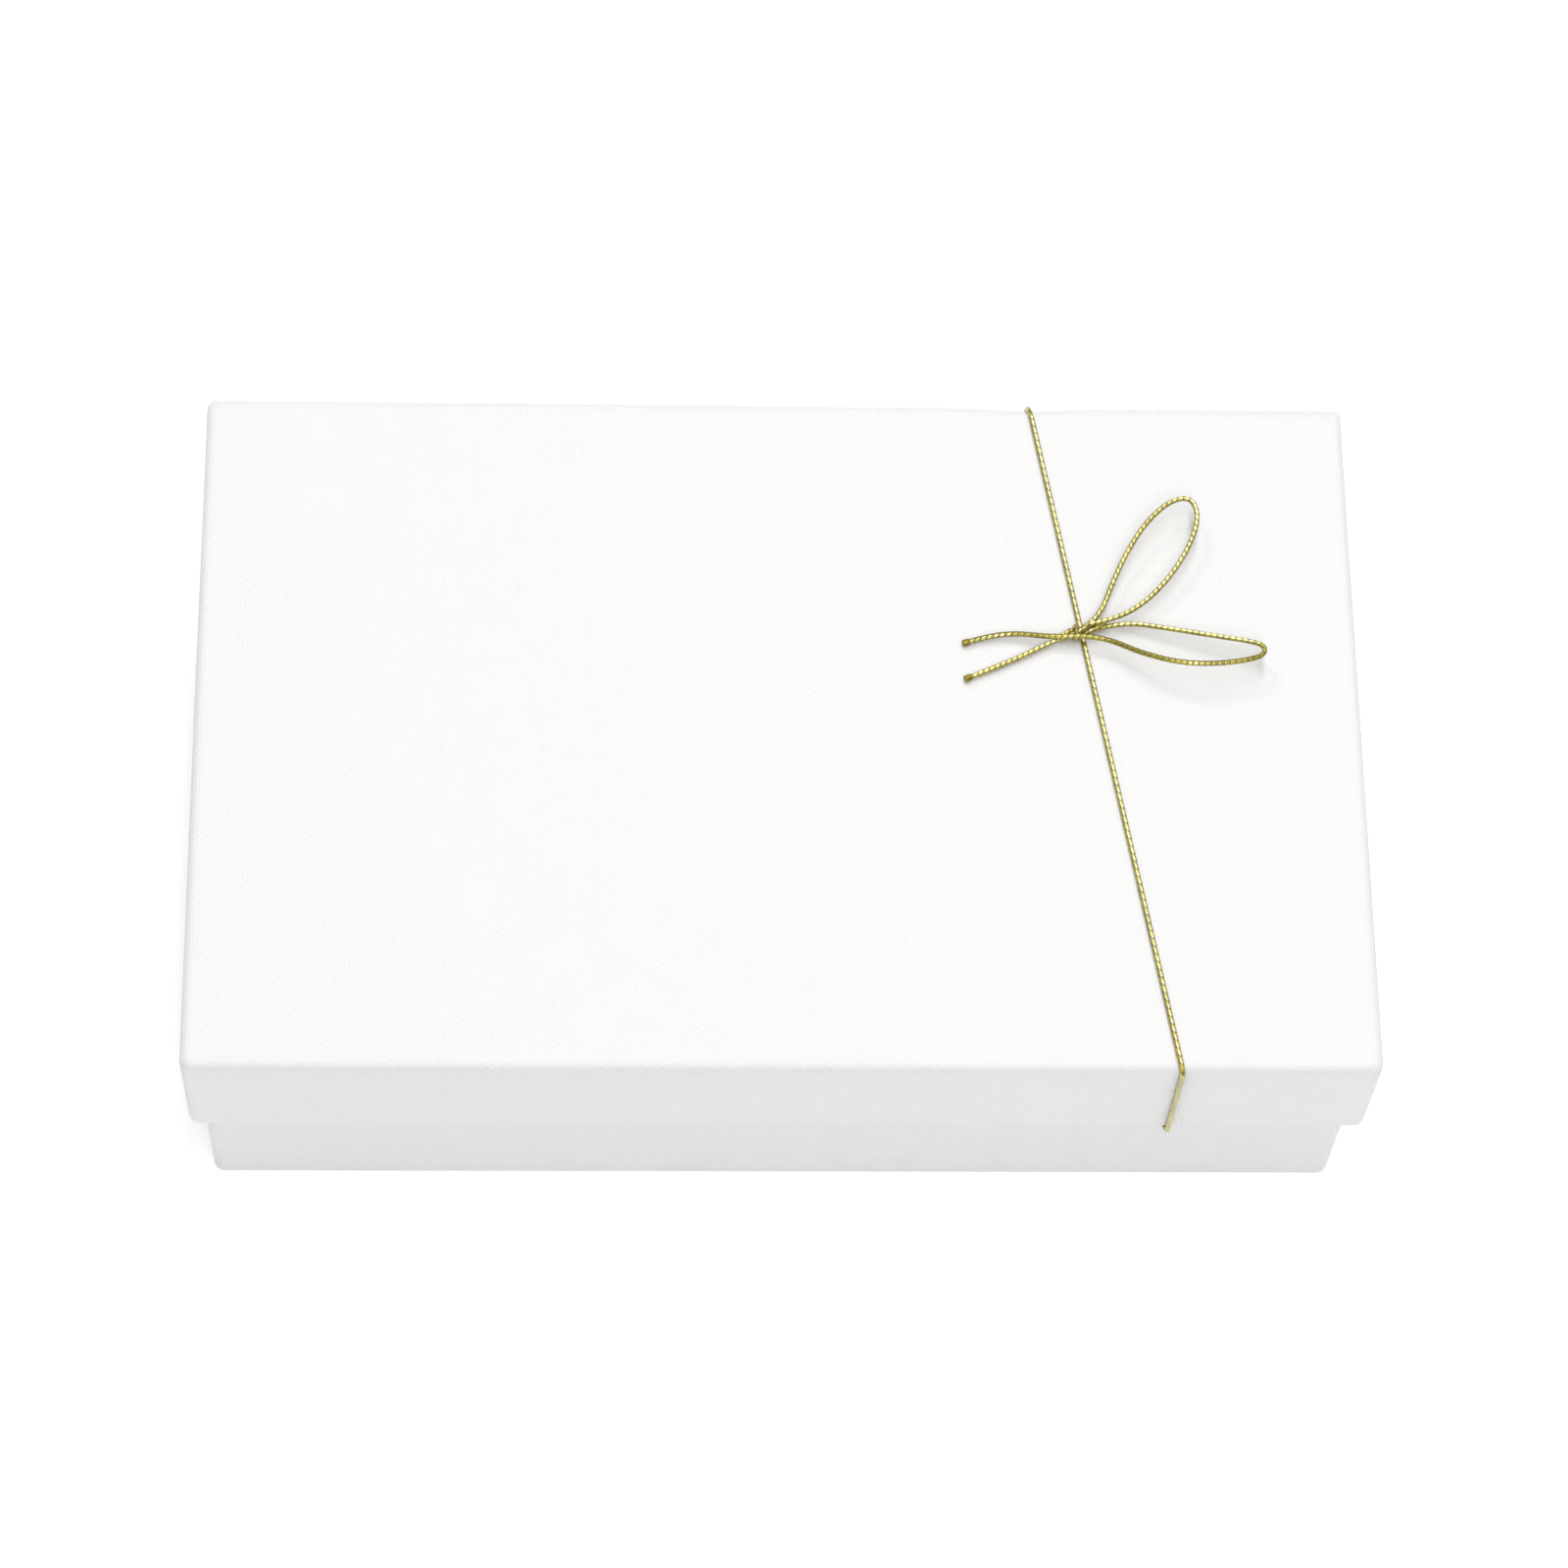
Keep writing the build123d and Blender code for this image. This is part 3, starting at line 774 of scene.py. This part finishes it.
def flockedVelvet():
    # Nylon flock on a thin backing, warm white: no gloss at all, a pale bloom at grazing angles from
    # the standing pile, faint patches where it has been brushed over, and painted shade in the pile's low
    # points.
    material, tree, shader = startMaterial(
        "flockedVelvet", Roughness=1.0, Sheen_Weight=0.7, Sheen_Roughness=0.45
    )
    place = addNode(tree, "ShaderNodeTexCoord").outputs["Object"]
    tuft = {"Vector": place, "Scale": patternScale(0.238), "Detail": 3.0}
    pile = addNode(tree, "ShaderNodeTexNoise", tuft).outputs[0]
    stroke = {"Vector": place, "Scale": patternScale(14.3), "Detail": 2.0}
    brush = addNode(tree, "ShaderNodeTexNoise", stroke).outputs[0]
    nap = rampBetween(tree, brush, 0.35, 0.65, ("#DCD8D0", "#E9E6DF"))
    # painted shade: the colour darkens down to 0.8 where the pile's bump is low
    depth = addNode(tree, "ShaderNodeMapRange", {0: pile, 1: 0.3, 2: 0.7, 3: 0.8, 4: 1.0}).outputs[0]
    colour = addNode(
        tree, "ShaderNodeMix", {0: 1.0, 6: nap, 7: depth}, data_type="RGBA", blend_type="MULTIPLY"
    )
    tree.links.new(colour.outputs[2], shader.inputs["Base Color"])
    bump = addNode(tree, "ShaderNodeBump", {"Height": pile, "Strength": 0.9, "Distance": 0.12 * mm})
    tree.links.new(bump.outputs[0], shader.inputs["Normal"])
    return material


def cutFoam():
    # Hot-wire cut polyurethane foam, cream white: open cells about 0.7 mm across, their pits darkened by
    # painted shade.
    material, tree, shader = startMaterial("cutFoam", Roughness=0.95, IOR=1.45)
    place = addNode(tree, "ShaderNodeTexCoord").outputs["Object"]
    cells = addNode(tree, "ShaderNodeTexVoronoi", {"Vector": place, "Scale": patternScale(0.714)}).outputs[0]
    cloud = addNode(tree, "ShaderNodeTexNoise", {"Vector": place, "Scale": patternScale(11.1)}).outputs[0]
    skin = rampBetween(tree, cloud, 0.3, 0.7, ("#DDD6C4", "#E8E2D2"))
    # painted shade: the colour darkens toward each cell's middle, where the bump sinks into a pit
    paintedPitShade = addNode(tree, "ShaderNodeMapRange", {0: cells, 1: 0.0, 2: 0.6, 3: 0.72, 4: 1.0}).outputs[0]
    colour = addNode(
        tree, "ShaderNodeMix", {0: 1.0, 6: skin, 7: paintedPitShade}, data_type="RGBA", blend_type="MULTIPLY"
    )
    tree.links.new(colour.outputs[2], shader.inputs["Base Color"])
    bump = addNode(tree, "ShaderNodeBump", {"Height": cells, "Strength": 0.8, "Distance": 0.35 * mm})
    tree.links.new(bump.outputs[0], shader.inputs["Normal"])
    return material


def softBlock(name, low, high, roundKey, voxelKey):  # a block with rounded edges, evenly meshed for shaping
    mesh = bpy.data.meshes.new(name)
    shape = bmesh.new()
    bmesh.ops.create_cube(shape, size=1.0)
    for vertex in shape.verts:
        vertex.co = [(a + b) / 2 + c * (b - a) for a, b, c in zip(low, high, vertex.co)]
    radius = insertMake[roundKey] * mm
    bmesh.ops.bevel(shape, geom=shape.edges, offset=radius, segments=5, profile=0.5, affect="EDGES")
    shape.to_mesh(mesh)
    shape.free()
    piece = bpy.data.objects.new(name, mesh)
    scene.collection.objects.link(piece)
    even = piece.modifiers.new("even", "REMESH")
    even.mode = "VOXEL"
    even.voxel_size = insertMake[voxelKey] * mm
    graph = bpy.context.evaluated_depsgraph_get()
    result = bpy.data.meshes.new_from_object(piece.evaluated_get(graph))
    bpy.data.objects.remove(piece)
    result.polygons.foreach_set("use_smooth", [True] * len(result.polygons))
    return result


def slitLines(low, high):
    lines = [insertMake["ring"], *insertMake["earrings"]]
    for side, (length, inX, inY, turn) in zip((-1, 1), insertMake["chains"]):
        lines.append((length, side * (high[0] / mm - inX), high[1] / mm - inY, turn))
    for length, x, y, turn in lines:
        heading = math.radians(turn)
        half = Vector((math.cos(heading), math.sin(heading))) * (length / 2 - insertMake["slitEnd"]) * mm
        yield Vector((x * mm, y * mm)) - half, Vector((x * mm, y * mm)) + half


def drawInSlits(mesh, low, high):
    lines = list(slitLines(low, high))
    for vertex in mesh.vertices:
        if vertex.co.z < high[2] - insertMake["face"] * mm:
            continue
        at = vertex.co.xy
        gap = 1.0
        for start, end in lines:
            run = end - start
            share = min(max((at - start).dot(run) / run.length_squared, 0.0), 1.0)
            gap = min(gap, (at - (start + run * share)).length)
        lip = insertMake["lip"] * mm
        near = max(0.0, 1 - max(gap - insertMake["slitHalf"] * mm, 0.0) / lip)
        u, v = at.x / high[0], at.y / high[1]
        sunk = insertMake["crown"] * (1 - (1 - u**4) * (1 - v**4)) + insertMake["slitDip"] * near**3
        vertex.co.z -= sunk * mm


velvetLow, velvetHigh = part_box("insert_velvet")
velvetMesh = softBlock("insertVelvet", velvetLow, velvetHigh, "round", "voxel")
drawInSlits(velvetMesh, velvetLow, velvetHigh)
velvet = newPiece("insertVelvet", velvetMesh, "insert", "flocked_velvet", flockedVelvet(), "insert_velvet")
foamLow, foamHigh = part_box("insert_foam")
foamTop = velvetLow[2] + insertMake["foamUnder"] * mm
foamMesh = softBlock("insertFoam", foamLow, (*foamHigh[:2], foamTop), "foamRound", "foamVoxel")
foam = newPiece("insertFoam", foamMesh, "insert", "foam", cutFoam(), "insert_foam")
print("insert padded")


# floor and light
studio = {
    "floor": 3.0,  # metres
    "floorColours": ("#FAFAFA", "#FCFCFC"),
    "world": 0.31,
    "tableGlow": 0.27,
    "lights": {  # size across and along in metres, place, and how bright the lit face is beside white
        "ceiling": ((1.1, 2.0), (0.4, 0.0, 1.1), 0.45),  # broad diffuser overhead
        "strip": ((0.22, 2.1), (0.07, -0.1, 1.0), 7.0),  # tube behind it, front to back
        "kicker": ((0.26, 0.26), (-0.42, 0.72, 0.88), 8.0),  # behind on the left, throws the bow's shadows
    },
}
floorMesh = bpy.data.meshes.new("floor")
floorShape = bmesh.new()
bmesh.ops.create_grid(floorShape, x_segments=8, y_segments=8, size=studio["floor"] / 2)
floorShape.to_mesh(floorMesh)
floorShape.free()
floor = bpy.data.objects.new("floor", floorMesh)
scene.collection.objects.link(floor)
# opal acrylic table, sanded matt and lit from under: even and bright right up to the box
floorMaterial, floorTree, floorShader = startMaterial("opalAcrylic", Roughness=0.9)
floorPlace = addNode(floorTree, "ShaderNodeTexCoord").outputs["Object"]
floorCloud = {"Vector": floorPlace, "Scale": patternScale(333)}
floorNoise = addNode(floorTree, "ShaderNodeTexNoise", floorCloud).outputs[0]
floorColour = rampBetween(floorTree, floorNoise, 0.3, 0.7, studio["floorColours"])
floorTree.links.new(floorColour, floorShader.inputs["Base Color"])
floorShader.inputs["Emission Color"].default_value = hexColour("#FFFFFF")
floorShader.inputs["Emission Strength"].default_value = studio["tableGlow"]
floor.data.materials.append(floorMaterial)

for name, (size, place, brightness) in studio["lights"].items():
    lampData = bpy.data.lights.new(name, "AREA")
    lampData.shape = "RECTANGLE"
    lampData.size, lampData.size_y = size
    lampData.energy = brightness * math.pi * size[0] * size[1]
    lamp = bpy.data.objects.new(name, lampData)
    lamp.location = place
    if name == "kicker":
        aim = Vector((0, 0, cadHigh[2])) - Vector(place)
        lamp.rotation_euler = aim.to_track_quat("-Z", "Y").to_euler()
    scene.collection.objects.link(lamp)
world = bpy.data.worlds.new("studio")
world.use_nodes = True
world.node_tree.nodes["Background"].inputs[0].default_value = hexColour("#FFFFFF")
world.node_tree.nodes["Background"].inputs[1].default_value = studio["world"]
scene.world = world
print("studio lit")
